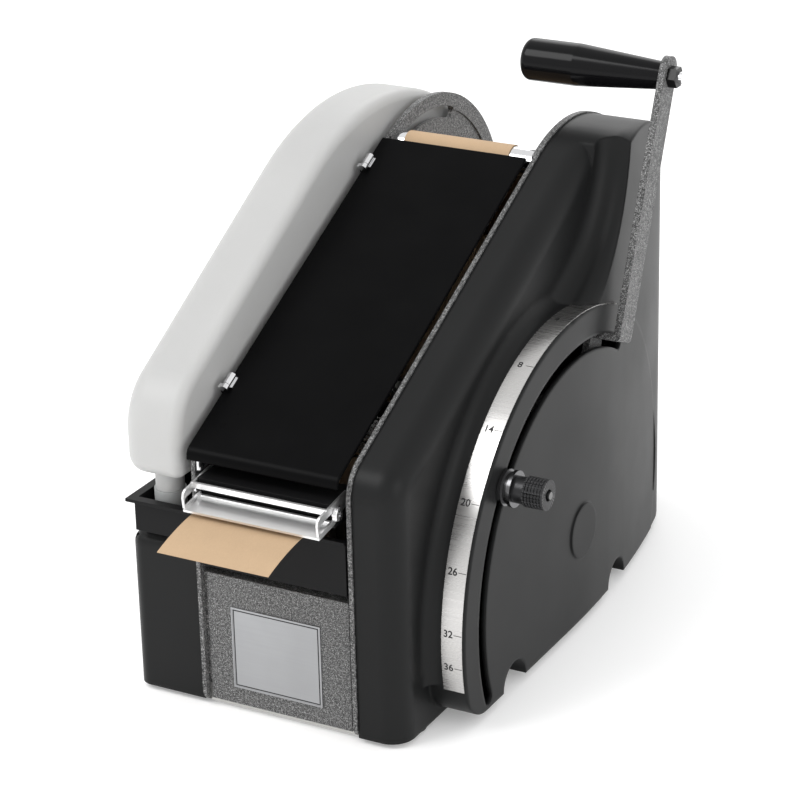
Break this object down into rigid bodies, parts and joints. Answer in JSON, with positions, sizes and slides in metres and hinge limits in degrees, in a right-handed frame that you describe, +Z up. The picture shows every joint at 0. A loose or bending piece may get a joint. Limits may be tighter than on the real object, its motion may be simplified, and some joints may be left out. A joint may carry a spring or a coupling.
{
  "type": "gummed tape dispenser",
  "caption": "Counter-top dispenser that feeds, wets and cuts gummed paper tape with a side lever, water bottle, sloping cover and dial-shaped housing.",
  "frame": {"origin": "on the floor, at the middle of the whole object's bounding box", "axes": "+Z up, -Y towards the tape outlet at the front, +X towards the lever side"},
  "size_m": [0.2486, 0.4742, 0.3569],
  "materials": {
    "hammertone": "hammertone enamel",
    "zinc_steel": "zinc plated",
    "sector_steel": "blanked steel",
    "black_abs": "moulded, soft sheen",
    "tank_black": "moulded",
    "bottle_white": "blow-moulded, translucent",
    "cap_grey": "moulded",
    "cover_black": "satin black",
    "chrome": "plated",
    "polished_steel": "polished stainless",
    "label_silver": "bare printed plate",
    "rubber": "plain",
    "grip_black": "moulded",
    "knob_black": "knurled",
    "kraft": "kraft paper",
    "core_board": "grey board",
    "bronze": "sintered",
    "gear_nylon": "moulded",
    "spring_steel": "wire",
    "brush_wood": "varnished",
    "brush_fibre": "bristle",
    "gland_black": "moulded"
  },
  "bodies": {
    "frame": {"arm_shaft": "zinc_steel", "cable_gland": "gland_black", "cover_post": "chrome", "data_plate": "label_silver", "feed_bushes": "bronze", "fixed_blade": "polished_steel", "floor_plate": "zinc_steel", "front_panel": "hammertone", "guide_block": "tank_black", "heater_plate": "zinc_steel", "idler_stud": "zinc_steel", "knife_bridge": "zinc_steel", "left_frame_plate": "hammertone", "length_scale": "polished_steel", "lever_stud": "zinc_steel", "plate_knuckles": "chrome", "press_screws": "chrome", "pressure_arms": "zinc_steel", "rear_panel": "hammertone", "return_spring": "spring_steel", "right_frame_plate": "hammertone", "right_housing": "black_abs", "rubber_feet": "rubber", "side_housing": "black_abs", "stud_clip": "zinc_steel", "tank_shelf": "zinc_steel", "tape_end": "kraft", "tape_web": "kraft", "tie_rods": "zinc_steel", "top_roller_shaft": "zinc_steel"},
    "lever": {"lever_arm": "hammertone", "lever_hub": "zinc_steel", "lever_sector": "sector_steel", "grip_bolt": "chrome", "grip_nut": "chrome"},
    "grip": {"lever_grip": "grip_black"},
    "idler": {"idler_gear": "gear_nylon"},
    "feed": {"feed_shaft": "zinc_steel", "feed_pinion": "gear_nylon", "feed_roller": "rubber", "one_way_clutch": "zinc_steel"},
    "press_roller": {"pressure_roller": "rubber"},
    "top_roller": {"top_roller": "chrome"},
    "roll": {"tape_roll": "kraft", "roll_core": "core_board"},
    "front_hopper": {"front_hopper_roller": "zinc_steel"},
    "rear_hopper": {"rear_hopper_roller": "zinc_steel"},
    "side_guide": {"width_guide": "zinc_steel"},
    "stop": {"stop_stud": "zinc_steel", "stop_collar": "knob_black"},
    "stop_clamp": {"stop_knob": "knob_black"},
    "cover": {"cover": "cover_black", "cover_knuckles": "chrome"},
    "tank": {"water_tank": "tank_black", "brush_blocks": "brush_wood", "brush_bristles": "brush_fibre"},
    "bottle": {"water_bottle": "bottle_white", "bottle_valve": "cap_grey"},
    "presser": {"pressure_plate": "polished_steel"},
    "blade": {"moving_blade": "polished_steel"}
  },
  "joints": [
    {"name": "lever_swing", "type": "hinge", "parent": "frame", "child": "lever", "pos_m": [0.03615, 0.014, 0.0585], "axis": [1, 0, 0], "range_deg": [0, 63], "stiffness_Nm_per_rad": 1.2, "springref_deg": -17.19},
    {"name": "grip_spin", "type": "hinge", "parent": "lever", "child": "grip", "pos_m": [0.05615, 0.13474, 0.34294], "axis": [1, 0, 0], "continuous": true},
    {"name": "stop_travel", "type": "hinge", "parent": "frame", "child": "stop", "pos_m": [0.09315, 0.014, 0.0585], "axis": [1, 0, 0], "range_deg": [0, 47]},
    {"name": "stop_clamp_turn", "type": "hinge", "parent": "stop", "child": "stop_clamp", "pos_m": [0.10315, -0.09079, 0.14643], "axis": [1, 0, 0], "continuous": true},
    {"name": "cover_hinge", "type": "hinge", "parent": "frame", "child": "cover", "pos_m": [-0.07135, -0.142, 0.2], "axis": [0, -0.8988, -0.4384], "range_deg": [0, 92]},
    {"name": "tank_slide", "type": "slide", "parent": "frame", "child": "tank", "axis": [0, -1, 0], "range_m": [0, 0.035]},
    {"name": "bottle_lift", "type": "slide", "parent": "frame", "child": "bottle", "axis": [0, 0, 1], "range_m": [0, 0.06]},
    {"name": "presser_slide", "type": "slide", "parent": "frame", "child": "presser", "axis": [0, -0.989, -0.1478], "range_m": [0, 0.004]},
    {"name": "blade_stroke", "type": "slide", "parent": "frame", "child": "blade", "axis": [0, 0, -1], "range_m": [0, 0.007], "stiffness_N_per_m": 200, "springref_m": -0.004},
    {"name": "side_guide_slide", "type": "slide", "parent": "frame", "child": "side_guide", "axis": [1, 0, 0], "range_m": [0, 0.008]},
    {"name": "idler_turn", "type": "hinge", "parent": "frame", "child": "idler", "pos_m": [0.03615, -0.03979, 0.15215], "axis": [1, 0, 0], "range_deg": [-442, 0]},
    {"name": "feed_turn", "type": "hinge", "parent": "frame", "child": "feed", "pos_m": [0.03615, -0.067, 0.1195], "axis": [1, 0, 0], "range_deg": [0, 1059.4]},
    {"name": "press_roller_turn", "type": "hinge", "parent": "frame", "child": "press_roller", "pos_m": [0.03615, -0.067, 0.1646], "axis": [1, 0, 0], "range_deg": [-3176.2, 0]},
    {"name": "top_roller_turn", "type": "hinge", "parent": "frame", "child": "top_roller", "pos_m": [0.03615, 0.085, 0.28952], "axis": [1, 0, 0], "range_deg": [0, 3677.55]},
    {"name": "roll_turn", "type": "hinge", "parent": "frame", "child": "roll", "pos_m": [0.03615, 0.111, 0.12312], "axis": [1, 0, 0], "range_deg": [0, 368.65]},
    {"name": "front_hopper_turn", "type": "hinge", "parent": "frame", "child": "front_hopper", "pos_m": [0.03615, 0.056, 0.0345], "axis": [1, 0, 0], "range_deg": [-3881.8, 0]},
    {"name": "rear_hopper_turn", "type": "hinge", "parent": "frame", "child": "rear_hopper", "pos_m": [0.03615, 0.166, 0.0345], "axis": [1, 0, 0], "range_deg": [-3881.8, 0]}
  ],
  "couplings": [
    {"joint": "idler_turn", "follows": "lever_swing", "ratio": -7},
    {"joint": "feed_turn", "follows": "lever_swing", "ratio": 16.8},
    {"joint": "press_roller_turn", "follows": "lever_swing", "ratio": -50.4},
    {"joint": "top_roller_turn", "follows": "lever_swing", "ratio": 58.358},
    {"joint": "roll_turn", "follows": "lever_swing", "ratio": 5.8358},
    {"joint": "front_hopper_turn", "follows": "lever_swing", "ratio": -61.6},
    {"joint": "rear_hopper_turn", "follows": "lever_swing", "ratio": -61.6}
  ]
}
